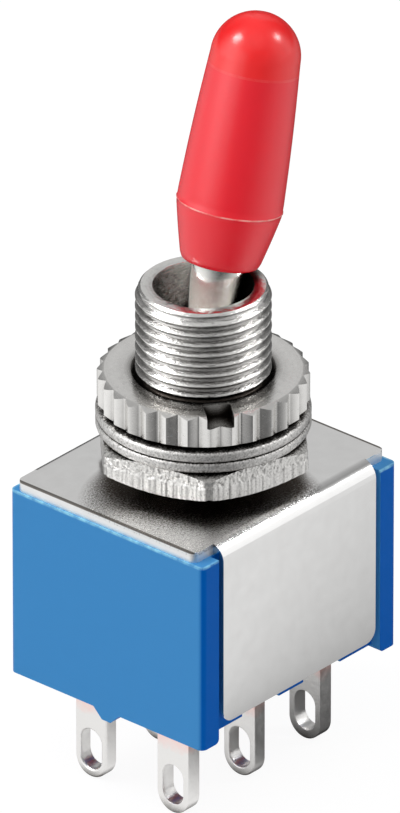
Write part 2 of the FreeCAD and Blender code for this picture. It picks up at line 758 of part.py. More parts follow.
def make_pole(letter, y):
    """Everything that one pole of the switch holds."""
    make_seal(f"seal_{letter}", -1 if y.startswith("-") else 1)
    make_centre_terminal(f"terminal_{letter}2", y)
    stud_x = "lug_x - stud_in"
    for number, x, stud, turn in (("1", "-lug_x", f"-({stud_x})", None),
                                  ("3", "lug_x", stud_x, "180")):
        make_outer_terminal(f"terminal_{letter}{number}", x, y, turn)
        make_contact(f"contact_{letter}{number}", stud, y)
    make_rocker(f"rocker_{letter}", y)
    make_plunger(f"plunger_{letter}", y)
    make_spring(f"spring_{letter}", y)


def check_objects():
    """Stops if any object failed or any piece is not one valid solid."""
    for item in doc.Objects:
        failed = [word for word in item.State if word in ("Invalid", "Error")]
        if failed:
            raise RuntimeError(f"{item.Name} failed: {item.State}")
    for body in doc.findObjects("PartDesign::Body"):
        shape = body.Shape
        if shape.isNull() or not shape.isValid() or len(shape.Solids) != 1:
            raise RuntimeError(f"{body.Label} is not one valid solid")


def write_pieces():
    os.makedirs("parts", exist_ok=True)
    for body in doc.findObjects("PartDesign::Body"):
        body.Shape.exportStep(f"parts/{body.Label}.step")
        print(f"{body.Label:16s} {body.Shape.Volume:9.3f} mm3")


make_case()
make_frame()
make_bushing()
make_lever()
make_pivot_pin()
make_sleeve()
make_yoke()
make_pole("a", "-pole_y")
make_pole("b", "pole_y")
make_hex_nut()
make_plain_washer()
make_lock_washer()
make_face_nut()
doc.recompute()
check_objects()
write_pieces()
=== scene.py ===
"""Dresses a miniature toggle switch over its CAD frame. Lengths are in millimetres unless said."""

import math

import bmesh
import bpy
from mathutils import Matrix, Vector, noise


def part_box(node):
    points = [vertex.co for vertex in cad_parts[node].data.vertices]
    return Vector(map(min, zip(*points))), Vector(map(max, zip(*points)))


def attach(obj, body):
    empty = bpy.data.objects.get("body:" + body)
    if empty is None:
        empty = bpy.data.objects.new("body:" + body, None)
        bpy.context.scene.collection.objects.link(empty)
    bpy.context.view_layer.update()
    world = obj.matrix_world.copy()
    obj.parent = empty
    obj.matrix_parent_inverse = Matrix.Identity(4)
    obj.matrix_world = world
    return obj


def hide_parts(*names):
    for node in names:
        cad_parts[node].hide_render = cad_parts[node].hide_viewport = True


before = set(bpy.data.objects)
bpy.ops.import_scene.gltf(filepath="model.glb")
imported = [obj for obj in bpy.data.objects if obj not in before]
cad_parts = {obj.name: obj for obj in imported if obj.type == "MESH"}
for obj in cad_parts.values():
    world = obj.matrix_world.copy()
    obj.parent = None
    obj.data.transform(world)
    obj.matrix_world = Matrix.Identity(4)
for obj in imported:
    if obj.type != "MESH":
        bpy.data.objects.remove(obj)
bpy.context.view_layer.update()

MM = 0.001

# Places read from the frame
PLATE_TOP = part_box("frame")[1].z / MM
CASE_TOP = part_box("case")[1].z / MM
CASE_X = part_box("case")[1].x / MM
CASE_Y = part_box("case")[1].y / MM
CASE_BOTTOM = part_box("case")[0].z / MM
FLANGE_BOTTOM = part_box("bushing")[0].z / MM

# Bushing
CREST_R = 3.0
CORE_R = 2.84
PITCH = 0.5
THREAD_DEPTH = 0.24
THREAD_WORN = 0.014
BUSHING_UP = 9.0
RIM_BEVEL = 0.25
MOUTH_R = 2.215
THROAT_R = 1.45
BALL_SEAT_R = 1.85
SEAT_LEAN = math.radians(38)
LOWER_BORE_R = 2.5
FLANGE_R = 3.7
PLATE_THICK = 0.5

# Mounting frame
FLAP_X = 5.1
FLAP_Y = 5.6
FLAP_BASE = 5.7
FLAP_CORNER_R = 0.6
BEND_R = 0.75
BACK_BEND_R = 0.45
TAB_X = 2.05
TAB_WIDE = 2.4
TAB_PAST = 0.15
TAB_UNDER = 1.25
EAR_X = 6.38
EAR_FRONT_Y = -5.03
EAR_BACK_Y = 5.3
EAR_CORNER_R = 0.35

# Lever and sleeve
PIVOT_UP = 5.5
PIVOT = Vector((0, 0, PLATE_TOP + PIVOT_UP))
LEVER_TILT = math.radians(14.5)
SHANK_R = 1.2
BALL_R = 1.8
NECK_R = 0.95
TAIL_R = 0.75
TAIL_DOWN = 9.0
SLEEVE_UP = 15.8
SLEEVE_LONG = 11.45
RIDGE_DOWN = 8.8
SEAM_DOWN = 2.5
RIDGE_R = 2.375
DOME_R = 1.99
GATE_R = 0.62
GATE_SOFT = 0.12
GATE_DEEP = 0.035
SLEEVE_END_R = 1.75
SLEEVE_FIT = 0.012
LEVER_UP = 14.6
LEVER_TIP_R = 1.45
LEVER_BEVEL = 0.5

# Nuts and washers
HEX_UP = 0.7
HEX_THICK = 1.42
HEX_FLATS = 9.0
HEX_BEVEL = 0.3
HEX_TOP_BEVEL = 0.2
HEX_CORNER_CUT = 0.1
HEX_TURN = math.radians(43.6)
WASHER_R = 4.75
WASHER_THICK = 0.5
WASHER_BORE_R = 3.1
LOWER_WASHER_ROLL = 0.12
UPPER_WASHER_ROLL = 0.14
FACE_NUT_R = 4.675
FACE_NUT_TALL = 1.42
SEAT_BEVEL = 0.31
SEAT_R = 4.1
FACE_TOP_R = 4.4
FACE_BEVEL = 0.14
SINK_R = 3.17
SINK_DEEP = 0.17
FLUTES = 30
FLUTE_DEEP = 0.27
TOOTH_BULGE = 1.15
GROOVE_SHARE = 0.06
SLOT_WIDE = 1.2
SLOT_DEEP = 0.55
SLOT_IN_R = 3.45
SLOT_TURN = math.radians(50.5)
NUT_BORE_R = 2.86

# View that the photograph was taken from
VIEW_AZIMUTH = math.radians(-49.0)
VIEW_RISE = math.radians(28.4)
VIEW_FAR = 1000.0
PIXELS_PER_MM = 22.85
IMAGE_TALL = 813
SENSOR_TALL = 24.0
AIM = Vector((0, 0, 17.1))
AIM_OFF_RIGHT = 3.4
AIM_OFF_DOWN = 6.7


# Mesh helpers

def new_piece(name, bm, body, replaced, material, split=35.0, even=False):
    """Turns a bmesh in millimetres into a finished, smooth-shaded piece."""
    bmesh.ops.scale(bm, vec=(MM, MM, MM), verts=bm.verts)
    bmesh.ops.recalc_face_normals(bm, faces=bm.faces)
    mesh = bpy.data.meshes.new(name)
    bm.to_mesh(mesh)
    bm.free()
    mesh.shade_smooth()
    mesh.set_sharp_from_angle(angle=math.radians(split))
    piece = bpy.data.objects.new(name, mesh)
    bpy.context.scene.collection.objects.link(piece)
    mesh.materials.append(material)
    if even:
        steady_normals(piece)
    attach(piece, body)
    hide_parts(*replaced)


def shape_of(item):
    """An object's mesh after its modifiers."""
    bpy.context.view_layer.update()
    shape = item.evaluated_get(bpy.context.evaluated_depsgraph_get())
    return bpy.data.meshes.new_from_object(shape)


def steady_normals(piece):
    """Keeps flat faces flat in the shading beside their rounded edges."""
    weighted = piece.modifiers.new("weighted", "WEIGHTED_NORMAL")
    weighted.keep_sharp = True
    weighted.weight = 100
    mesh = shape_of(piece)
    piece.modifiers.clear()
    old = piece.data
    name = old.name
    piece.data = mesh
    bpy.data.meshes.remove(old)
    mesh.name = name


def ring_points(radius, z, columns):
    """One ring of points; radius and z are numbers or functions of the angle."""
    points = []
    for column in range(columns):
        angle = 2 * math.pi * column / columns
        r = radius(angle) if callable(radius) else radius
        height = z(angle) if callable(z) else z
        points.append((r * math.cos(angle), r * math.sin(angle), height))
    return points


def bridge(bm, low, high):
    """Faces between two rings of equal length."""
    for i in range(len(low)):
        j = (i + 1) % len(low)
        bm.faces.new((low[i], low[j], high[j], high[i]))


def join_rings(bm, rings, closed):
    """Faces from each ring to the next, and from the last to the first when closed."""
    rows = [[bm.verts.new(point) for point in ring] for ring in rings]
    pairs = list(zip(rows, rows[1:]))
    if closed:
        pairs.append((rows[-1], rows[0]))
    for low, high in pairs:
        bridge(bm, low, high)
    return rows


def close_fan(bm, ring, tip):
    for i in range(len(ring)):
        bm.faces.new((ring[i], ring[(i + 1) % len(ring)], tip))


def lean(bm):
    """Tilts a piece drawn upright about the pivot to where the lever rests."""
    turn = Matrix.Translation(PIVOT) @ Matrix.Rotation(LEVER_TILT, 4, "Y")
    bmesh.ops.transform(bm, matrix=turn, verts=bm.verts)


def soften_edges(bm, wanted, width, segments=3, angle=30):
    """Rounds the edges sharper than an angle in degrees that wanted picks out."""
    edges = [e for e in bm.edges
             if e.is_manifold and e.calc_face_angle(0) > math.radians(angle) and wanted(e)]
    bmesh.ops.bevel(bm, geom=edges, offset=width, segments=segments, profile=0.5, affect="EDGES",
                    clamp_overlap=True)


def refined(name, node, material, width, segments=3):
    """A CAD node's shape with its flat faces merged and its edges rounded over."""
    bm = bmesh.new()
    bm.from_mesh(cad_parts[node].data)
    bmesh.ops.scale(bm, vec=(1 / MM, 1 / MM, 1 / MM), verts=bm.verts)
    bmesh.ops.remove_doubles(bm, verts=bm.verts, dist=0.0005)
    bmesh.ops.dissolve_limit(bm, angle_limit=math.radians(0.5), verts=bm.verts, edges=bm.edges)
    soften_edges(bm, lambda e: True, width, segments, 28)
    new_piece(name, bm, "housing", [node], material, 40, True)


# Node helpers, for materials and for the world

# Most of a noise texture's values lie between these
GRAIN_LOW = 0.3
GRAIN_HIGH = 0.7


def start_material(name, colour, metallic, roughness):
    material = bpy.data.materials.new(name)
    material.use_nodes = True
    shader = material.node_tree.nodes["Principled BSDF"]
    shader.inputs["Base Color"].default_value = (*colour, 1)
    shader.inputs["Metallic"].default_value = metallic
    shader.inputs["Roughness"].default_value = roughness
    return material, shader


def add_node(owner, kind, **values):
    """A node with its inputs and settings given by name."""
    node = owner.node_tree.nodes.new(kind)
    for key, value in values.items():
        if key in node.inputs:
            node.inputs[key].default_value = value
        else:
            setattr(node, key, value)
    return node


def wire(owner, source, target):
    owner.node_tree.links.new(source, target)


def feed(owner, value, target):
    """Gives an input a value of its own, or wires another node's output to it."""
    if isinstance(value, bpy.types.NodeSocket):
        wire(owner, value, target)
    else:
        target.default_value = value


def calculate(owner, operation, *values):
    """One step of arithmetic on numbers and outputs."""
    node = add_node(owner, "ShaderNodeMath", operation=operation)
    for value, target in zip(values, node.inputs):
        feed(owner, value, target)
    return node.outputs[0]


def band(owner, source, low, high, first=0.0, last=1.0, shape="LINEAR"):
    """Maps low to high onto first to last, and holds there beyond them."""
    node = add_node(owner, "ShaderNodeMapRange", interpolation_type=shape)
    for key, value in (("From Min", low), ("From Max", high), ("To Min", first), ("To Max", last)):
        node.inputs[key].default_value = value
    wire(owner, source, node.inputs["Value"])
    return node.outputs["Result"]


def mixed(owner, share, first, second):
    """A colour on the way from one to another, each a colour or an output."""
    node = add_node(owner, "ShaderNodeMix", data_type="RGBA")
    wire(owner, share, node.inputs["Factor"])
    for key, value in (("A", first), ("B", second)):
        feed(owner, (*value, 1) if isinstance(value, (tuple, list)) else value, node.inputs[key])
    return node.outputs["Result"]


def axes(owner, vector):
    """A vector's parts, named X, Y and Z."""
    parts = add_node(owner, "ShaderNodeSeparateXYZ")
    wire(owner, vector, parts.inputs[0])
    return parts.outputs


def place_of(material, stretch=(1, 1, 1)):
    """The point's place on the piece, in metres, stretched per axis."""
    coords = add_node(material, "ShaderNodeTexCoord")
    mapping = add_node(material, "ShaderNodeMapping", Scale=stretch)
    wire(material, coords.outputs["Object"], mapping.inputs["Vector"])
    return mapping.outputs["Vector"]


def grain(material, size, stretch=(1, 1, 1)):
    """Noise with spots about size millimetres across."""
    spots = add_node(material, "ShaderNodeTexNoise", Scale=1 / (size * MM), Detail=4.0)
    wire(material, place_of(material, stretch), spots.inputs["Vector"])
    return spots.outputs["Fac"]


def turned(material, size):
    """Rings round the Z axis, as a lathe tool leaves them, about size millimetres apart."""
    place = axes(material, place_of(material))
    flat = add_node(material, "ShaderNodeCombineXYZ")
    wire(material, place["X"], flat.inputs["X"])
    wire(material, place["Y"], flat.inputs["Y"])
    length = add_node(material, "ShaderNodeVectorMath", operation="LENGTH")
    wire(material, flat.outputs[0], length.inputs[0])
    total = calculate(material, "ADD", length.outputs["Value"], place["Z"])
    rings = add_node(material, "ShaderNodeTexNoise", noise_dimensions="1D", Scale=1 / (size * MM),
                     Detail=3.0)
    wire(material, total, rings.inputs["W"])
    return rings.outputs["Fac"]


def vary(material, source, low, high, target):
    """Feeds a texture's usual swing into an input as low to high."""
    wire(material, band(material, source, GRAIN_LOW, GRAIN_HIGH, low, high), target)


def tint(material, shader, source, first, second):
    """Drifts the base colour between two shades."""
    drift = band(material, source, GRAIN_LOW, GRAIN_HIGH)
    wire(material, mixed(material, drift, first, second), shader.inputs["Base Color"])


def base_of(shader):
    """What the base colour is so far: another node's output, or a colour."""
    colour = shader.inputs["Base Color"]
    return colour.links[0].from_socket if colour.is_linked else tuple(colour.default_value)[:3]


def relief(material, shader, layers):
    """Stacks bumps: (texture output, strength, height in millimetres)."""
    last = None
    for source, strength, height in layers:
        bump = add_node(material, "ShaderNodeBump", Strength=strength, Distance=height * MM)
        wire(material, source, bump.inputs["Height"])
        if last:
            wire(material, last.outputs["Normal"], bump.inputs["Normal"])
        last = bump
    wire(material, last.outputs["Normal"], shader.inputs["Normal"])


def paint_gap_shade(material, shader, reach, dark, low=0.25, high=0.8, specks=None, where=None):
    """Paints shade into the base colour where other surfaces stand within reach, in specks of a size if
    given.
    """
    near = add_node(material, "ShaderNodeAmbientOcclusion", Distance=reach * MM, samples=8)
    openness = near.outputs["AO"]
    if specks:
        speck_swing = 1.6
        uneven = calculate(material, "MULTIPLY_ADD", grain(material, specks), speck_swing, openness)
        openness = calculate(material, "SUBTRACT", uneven, speck_swing / 2)
    unshaded = band(material, openness, low, high)
    if where:
        elsewhere = calculate(material, "SUBTRACT", 1.0, where)
        unshaded = calculate(material, "MAXIMUM", unshaded, elsewhere)
    wire(material, mixed(material, unshaded, dark, base_of(shader)), shader.inputs["Base Color"])


# Materials

# Painted shade for gaps and crevices in the metals
GAP_SHADE = (0.05, 0.042, 0.036)

# Blue with light painted in: lit and shaded copies, a painted highlight, painted shade in gaps
BLUE_LIT = (0.057, 0.268, 0.605)
BLUE_SHADED = (0.0, 0.105, 0.48)
# Painted highlight along the case's outer top edges
BLUE_EDGE_HIGHLIGHT = (0.3, 0.68, 0.9)
# Painted shade for gaps in the blue case
BLUE_GAP_SHADE = (0.001, 0.012, 0.06)
BLUE_SHINE = (0.0, 0.75, 1.0, 1)

RED_LOW = (0.93, 0.004, 0.02)
RED_HIGH = (0.97, 0.008, 0.01)
RED_PALE_LINE = (1.0, 0.42, 0.38)
RESIN_DARK = (0.4, 0.02, 0.015)
RESIN_PALE = (0.5, 0.04, 0.03)

SATIN_DARK = (0.78, 0.775, 0.768)
SATIN_PALE = (0.82, 0.817, 0.81)
ROLL_SHADE = (0.16, 0.148, 0.135)
# Painted shade and painted reflection of the nut stack on the plate's top
PLATE_NUT_SHADE = (0.09, 0.068, 0.052)
NUT_SHADE_MIDDLE = Vector((-2.6, -2.2, PLATE_TOP))
NUT_SHADE_R = 5.5
NUT_SHADE_FULL_R = 4.6

TIN_BARE = (0.8, 0.79, 0.775)
TIN_PINKISH = (0.98, 0.5, 0.44)


def top_edge_highlight(material):
    """Strength of the painted highlight along the case's outer top edges, broken up by grain."""
    place = axes(material, place_of(material))
    near = {}
    for axis, limit in (("X", CASE_X), ("Y", CASE_Y), ("Z", CASE_TOP)):
        size = calculate(material, "ABSOLUTE", place[axis])
        near[axis] = band(material, size, (limit - 0.13) * MM, (limit - 0.06) * MM)
    side = calculate(material, "MAXIMUM", near["X"], near["Y"])
    edge = calculate(material, "MULTIPLY", side, near["Z"])
    patchy = band(material, grain(material, 0.4), 0.35, 0.65, 0.2, 1.0)
    return calculate(material, "MULTIPLY", edge, patchy)


def make_blue():
    """Moulded plastic with light and shade painted in: the end walls and the top paler and the posts
    darker, as the lamps fall on them, a painted highlight along the outer top edges and painted shade
    in the gaps.
    """
    material, shader = start_material("blue_moulding", (0.002, 0.17, 0.52), 0.0, 0.42)
    shader.inputs["Specular IOR Level"].default_value = 0.12
    shader.inputs["Specular Tint"].default_value = BLUE_SHINE
    coords = add_node(material, "ShaderNodeTexCoord")
    facing = axes(material, coords.outputs["Normal"])
    endwards = calculate(material, "ABSOLUTE", facing["X"])
    lit_faces = band(material, calculate(material, "MAXIMUM", endwards, facing["Z"]), 0.75, 0.98)
    # Lit and shaded copies of the blue, picked by which way each face points
    plain = mixed(material, lit_faces, BLUE_SHADED, BLUE_LIT)
    highlighted = mixed(material, top_edge_highlight(material), plain, BLUE_EDGE_HIGHLIGHT)
    wire(material, highlighted, shader.inputs["Base Color"])
    vary(material, grain(material, 0.25), 0.36, 0.46, shader.inputs["Roughness"])
    relief(material, shader, [(grain(material, 0.12), 0.12, 0.01)])
    # Painted shade in the case's gaps
    paint_gap_shade(material, shader, 0.3, BLUE_GAP_SHADE, 0.1, 0.5)
    return material


def up_lever(material):
    """Distance from the pivot along the lever, in millimetres."""
    upright = add_node(material, "ShaderNodeVectorRotate", rotation_type="Y_AXIS",
                       Angle=-LEVER_TILT, Center=PIVOT * MM)
    wire(material, place_of(material), upright.inputs["Vector"])
    height = axes(material, upright.outputs["Vector"])["Z"]
    return calculate(material, "MULTIPLY_ADD", height, 1 / MM, -PIVOT.z)


def stripe(material, up, middle, half, strength):
    """A broken line round the lever that reaches half its width either side of the middle."""
    on_line = calculate(material, "COMPARE", up, middle, half)
    patchy = band(material, grain(material, 0.5), 0.35, 0.6, 0.2 * strength, strength)
    return calculate(material, "MULTIPLY", on_line, patchy)


def make_red():
    """Waxy plastic with a painted highlight along its ridge and a faint pale line along the mould's
    seam.
    """
    material, shader = start_material("red_plastic", (0.95, 0.004, 0.016), 0.0, 0.28)
    shader.inputs["Specular IOR Level"].default_value = 0.8
    shader.inputs["Subsurface Weight"].default_value = 0.25
    shader.inputs["Subsurface Radius"].default_value = (1.0, 0.15, 0.1)
    shader.inputs["Subsurface Scale"].default_value = 0.5 * MM
    up = up_lever(material)
    seam = SLEEVE_UP - SEAM_DOWN
    colour = mixed(material, band(material, up, seam - 0.1, seam + 0.15), RED_LOW, RED_HIGH)
    # The ridge's line is a painted highlight; the seam's is a faint pale line
    for middle, half, strength in ((SLEEVE_UP - RIDGE_DOWN, 0.035, 0.8), (seam, 0.06, 0.07)):
        line = stripe(material, up, middle, half, strength)
        colour = mixed(material, line, colour, RED_PALE_LINE)
    wire(material, colour, shader.inputs["Base Color"])
    vary(material, grain(material, 0.4), 0.21, 0.27, shader.inputs["Roughness"])
    relief(material, shader, [(grain(material, 0.35), 0.06, 0.01), (grain(material, 0.08), 0.05, 0.01)])
    return material


def make_resin():
    """Poured resin, glossy and slightly uneven."""
    material, shader = start_material("red_resin", (0.45, 0.03, 0.02), 0.0, 0.2)
    shader.inputs["Coat Weight"].default_value = 0.5
    tint(material, shader, grain(material, 0.8), RESIN_DARK, RESIN_PALE)
    relief(material, shader, [(grain(material, 0.9), 0.3, 0.08)])
    return material


def make_metal(name, colour, rough, fine, ringed=0.0, gap_low=0.25, gap_high=0.8, chatter=0.0):
    """Plated metal with a fine grain, and tool marks where it was turned."""
    material, shader = start_material(name, colour, 1.0, rough)
    vary(material, grain(material, 0.2), rough - 0.05, rough + 0.07, shader.inputs["Roughness"])
    layers = [(grain(material, fine), 0.12, 0.01)]
    if ringed:
        layers.append((turned(material, ringed), 0.2, 0.01))
        layers.append((grain(material, 0.3, (1, 1, 6)), chatter, 0.04))
        shader.inputs["Anisotropic"].default_value = 0.5
        around = add_node(material, "ShaderNodeTangent", direction_type="RADIAL", axis="Z")
        wire(material, around.outputs["Tangent"], shader.inputs["Tangent"])
    relief(material, shader, layers)
    # Painted shade in the metal's gaps and crevices
    paint_gap_shade(material, shader, 0.8, GAP_SHADE, gap_low, gap_high)
    return material


def sheared_edge(material, place):
    """One on the plate's cut edges outside the flaps, nought elsewhere."""
    size = calculate(material, "ABSOLUTE", place["X"])
    outside = calculate(material, "GREATER_THAN", size, (FLAP_X + 0.02) * MM)
    under = calculate(material, "LESS_THAN", place["Z"], (PLATE_TOP - 0.05) * MM)
    return calculate(material, "MULTIPLY", outside, under)


def rolled_arris(material, place):
    """One along the roll between the plate's top and its cut edges, nought elsewhere."""
    size = calculate(material, "ABSOLUTE", place["X"])
    outside = band(material, size, (EAR_X - 0.14) * MM, (EAR_X - 0.1) * MM)
    above = band(material, place["Z"], (PLATE_TOP - 0.09) * MM, (PLATE_TOP - 0.06) * MM)
    return calculate(material, "MULTIPLY", outside, above)


def nut_shade_zone(material, place):
    """One on the plate's top round the near corner of the hexagon nut, where its shade and reflection
    are painted, nought elsewhere.
    """
    on_top = band(material, place["Z"], (PLATE_TOP - 0.2) * MM, (PLATE_TOP - 0.05) * MM)
    away = add_node(material, "ShaderNodeVectorMath", operation="DISTANCE")
    away.inputs[1].default_value = NUT_SHADE_MIDDLE * MM
    wire(material, place_of(material), away.inputs[0])
    near_nut = band(material, away.outputs["Value"], NUT_SHADE_R * MM, NUT_SHADE_FULL_R * MM)
    return calculate(material, "MULTIPLY", on_top, near_nut)


def make_satin():
    """Pressed sheet under satin nickel: faintly clouded, with hardly any relief. Beside the nut it has
    painted shade and a painted reflection of the nut, and along the rolled edges a dark line of painted
    shade.
    """
    material, shader = start_material("satin_nickel", (0.8, 0.795, 0.785), 1.0, 0.14)
    place = axes(material, place_of(material))
    rough = add_node(material, "ShaderNodeMix", data_type="FLOAT", B=0.5)
    vary(material, grain(material, 0.5), 0.12, 0.16, rough.inputs["A"])
    wire(material, sheared_edge(material, place), rough.inputs["Factor"])
    wire(material, rough.outputs["Result"], shader.inputs["Roughness"])
    tint(material, shader, grain(material, 0.8), SATIN_DARK, SATIN_PALE)
    rolled = mixed(material, rolled_arris(material, place), base_of(shader), ROLL_SHADE)
    wire(material, rolled, shader.inputs["Base Color"])
    toned_zone = nut_shade_zone(material, place)
    specks = calculate(material, "MULTIPLY", toned_zone, grain(material, 0.07))
    relief(material, shader, [(grain(material, 0.9), 0.04, 0.02), (grain(material, 0.2), 0.06, 0.008),
                              (specks, 0.7, 0.04)])
    # Painted shade and painted reflection of the nut, speckled, only round the nut
    paint_gap_shade(material, shader, 2.6, PLATE_NUT_SHADE, 0.45, 0.9, 0.09, toned_zone)
    return material


def make_tin():
    """Dipped tin, uneven and a little hammered, turning pinkish where it leaves the case."""
    material, shader = start_material("tinned_lug", TIN_BARE, 1.0, 0.34)
    vary(material, grain(material, 0.2), 0.28, 0.42, shader.inputs["Roughness"])
    height = axes(material, place_of(material))["Z"]
    uneven = calculate(material, "MULTIPLY_ADD", grain(material, 0.7), 1.2 * MM, height)
    toned_zone = band(material, uneven, (CASE_BOTTOM - 0.7) * MM, (CASE_BOTTOM + 0.6) * MM)
    wire(material, mixed(material, toned_zone, TIN_BARE, TIN_PINKISH), shader.inputs["Base Color"])
    relief(material, shader, [(grain(material, 0.35), 0.35, 0.04), (grain(material, 0.12), 0.4, 0.02)])
    # Painted shade in the lug's gaps
    paint_gap_shade(material, shader, 0.9, GAP_SHADE, 0.45, 0.85)
    return material


def make_granular(name, colour, rough, streaked, mottled):
    """Nickel over a blanked edge, grainy and drawn into upright streaks."""
    material, shader = start_material(name, colour, 1.0, rough)
    vary(material, grain(material, 0.15), rough - 0.07, rough + 0.1, shader.inputs["Roughness"])
    dark = [(1 - mottled) * share for share in colour]
    pale = [(1 + 0.5 * mottled) * share for share in colour]
    tint(material, shader, grain(material, 0.09), dark, pale)
    upright = grain(material, 0.15, (1, 1, 0.05))
    relief(material, shader, [(grain(material, 0.1), 0.5, 0.03), (upright, streaked, 0.03)])
    # Painted shade in the gaps, in specks
    paint_gap_shade(material, shader, 0.5, GAP_SHADE, 0.35, 0.85, 0.09)
    return material


def make_dull(name, colour, rough):
    """Plain moulded plastic, for pieces inside."""
    material, shader = start_material(name, colour, 0.0, rough)
    vary(material, grain(material, 0.3), rough - 0.06, rough + 0.06, shader.inputs["Roughness"])
    relief(material, shader, [(grain(material, 0.15), 0.1, 0.01)])
    return material


BLUE = make_blue()
RED = make_red()
RESIN = make_resin()
SATIN = make_satin()
BRIGHT = make_metal("bright_nickel", (0.82, 0.81, 0.79), 0.22, 0.05, 0.08, 0.5, 0.92, 0.1)
THREADED = make_metal("bright_thread", (0.84, 0.83, 0.81), 0.2, 0.05, 0.08, 0.5, 0.86, 0.8)
GRANULAR = make_granular("nickel_nut", (0.79, 0.78, 0.76), 0.34, 0.4, 0.15)
WASHER = make_granular("nickel_washer", (0.69, 0.68, 0.665), 0.46, 0.05, 0.35)
LEVER = make_metal("lever_metal", (0.82, 0.81, 0.78), 0.12, 0.15)
TIN = make_tin()
SILVER = make_metal("contact_metal", (0.86, 0.83, 0.76), 0.25, 0.1)
BRASS = make_metal("plunger_metal", (0.78, 0.62, 0.34), 0.25, 0.1)
STEEL = make_metal("spring_wire", (0.55, 0.55, 0.55), 0.3, 0.1)
BLACK = make_dull("inner_plastic", (0.03, 0.03, 0.032), 0.5)


# Bushing, with its thread cut as closed rings

def thread_drop(turns):
    """How far the thread's surface lies inside its crest at a place along one pitch."""
    along = abs((turns + 0.5) % 1.0 - 0.5) * 2
    flat, root = 0.14, 0.72
    crest_round, root_round = 0.06, 0.08
    if along < flat:
        return THREAD_DEPTH * crest_round * (along / flat) ** 2
    if along > root:
        return THREAD_DEPTH * (1 - root_round * ((1 - along) / (1 - root)) ** 2)
    share = (along - flat) / (root - flat)
    return THREAD_DEPTH * (crest_round + (1 - crest_round - root_round) * share)


def thread_limit(up):
    """The most that the outside may measure at a height over the plate."""
    nut_top = HEX_UP + HEX_THICK + 2 * WASHER_THICK + SEAT_BEVEL + FACE_NUT_TALL
    rim = CREST_R - max(0.0, up - (BUSHING_UP - RIM_BEVEL))
    if up < HEX_UP - 0.1 or up >= nut_top:
        return rim
    in_nuts = CORE_R + max(0.0, up - (nut_top - SINK_DEEP)) * 1.2
    return min(rim, in_nuts)


def thread_rings(columns, rows_per_turn):
    """The outside's points. The mesh's rows climb, but every crest is a closed ring at one height."""
    turns = int(BUSHING_UP / PITCH) + 2
    rings = []
    for row in range(turns * rows_per_turn + 1):
        ring = []
        for column in range(columns):
            angle = 2 * math.pi * column / columns
            place = row / rows_per_turn + column / columns - 1
            up = min(max(place * PITCH, 0.0), BUSHING_UP)
            patchy = THREAD_WORN * noise.noise((3.5 * math.cos(angle), 3.5 * math.sin(angle), 9 * up))
            r = min(CREST_R - thread_drop(place) - max(0.0, patchy), thread_limit(up))
            ring.append((r * math.cos(angle), r * math.sin(angle), PLATE_TOP + up))
        rings.append(ring)
    return rings


def bushing_inside():
    """From the rim's lip down the bore, round the flange and up to the thread's foot."""
    bottom = FLANGE_BOTTOM - PLATE_TOP
    foot = BALL_SEAT_R / math.cos(SEAT_LEAN)
    throat_up = PIVOT_UP + (foot - THROAT_R) / math.tan(SEAT_LEAN)
    seat_up = PIVOT_UP + (foot - BALL_SEAT_R) / math.tan(SEAT_LEAN)
    soft = 0.05
    return [(MOUTH_R + soft, BUSHING_UP), (MOUTH_R + soft * 0.3, BUSHING_UP - soft * 0.3),
            (MOUTH_R, BUSHING_UP - soft), (MOUTH_R - 0.06, BUSHING_UP - 0.4),
            (THROAT_R + 0.35, throat_up + 0.55), (THROAT_R, throat_up), (BALL_SEAT_R, seat_up),
            (BALL_SEAT_R, PIVOT_UP), (LOWER_BORE_R, bottom + soft), (LOWER_BORE_R + soft, bottom),
            (FLANGE_R - soft, bottom), (FLANGE_R, bottom + soft), (FLANGE_R, -PLATE_THICK - soft),
            (FLANGE_R - soft, -PLATE_THICK), (CORE_R, -PLATE_THICK), (CORE_R, -0.02)]


def make_bushing():
    columns, per_turn = 144, 12
    bm = bmesh.new()
    rows = [[bm.verts.new(point) for point in ring] for ring in thread_rings(columns, per_turn)]
    last = len(rows) - 1
    for r in range(last):
        for c in range(columns - 1):
            bm.faces.new((rows[r][c], rows[r][c + 1], rows[r + 1][c + 1], rows[r + 1][c]))
        over, over_next = min(r + per_turn, last), min(r + 1 + per_turn, last)
        if over_next > over:
            bm.faces.new((rows[r][-1], rows[over][0], rows[over_next][0], rows[r + 1][-1]))
        else:
            bm.faces.new((rows[r][-1], rows[over][0], rows[r + 1][-1]))
    chain = [rows[-1]]
    for radius, up in bushing_inside():
        chain.append([bm.verts.new(point) for point in ring_points(radius, PLATE_TOP + up, columns)])
    chain.append(rows[0])
    for low, high in zip(chain, chain[1:]):
        bridge(bm, low, high)
    bmesh.ops.remove_doubles(bm, verts=bm.verts, dist=0.0008)
    bmesh.ops.dissolve_degenerate(bm, edges=bm.edges, dist=0.0005)
    new_piece("bushing_body", bm, "housing", ["bushing"], THREADED, 40)


# Lever and its sleeve

def shank_profile():
    """Open profile of the lever, from its tail over the ball to its tip."""
    mouth = SLEEVE_UP - SLEEVE_LONG
    profile = [(TAIL_R - 0.1, -TAIL_DOWN), (TAIL_R, -TAIL_DOWN + 0.1)]
    start = math.asin(TAIL_R / BALL_R)
    end = math.pi - math.asin(NECK_R / BALL_R)
    steps = 24
    for step in range(steps + 1):
        angle = start + (end - start) * step / steps
        profile.append((BALL_R * math.sin(angle), -BALL_R * math.cos(angle)))
    profile += [(NECK_R + 0.03, BALL_R * 0.85 + 0.12), (SHANK_R - 0.04, mouth - 1.0),
                (SHANK_R, mouth), (LEVER_TIP_R, LEVER_UP - LEVER_BEVEL),
                (LEVER_TIP_R - LEVER_BEVEL, LEVER_UP)]
    return profile


def make_lever():
    columns = 96
    bm = bmesh.new()
    rows = join_rings(bm, [ring_points(r, z, columns) for r, z in shank_profile()], False)
    bm.faces.new(rows[0])
    bm.faces.new(rows[-1])
    lean(bm)
    new_piece("lever_rod", bm, "lever", ["lever"], LEVER, 50)


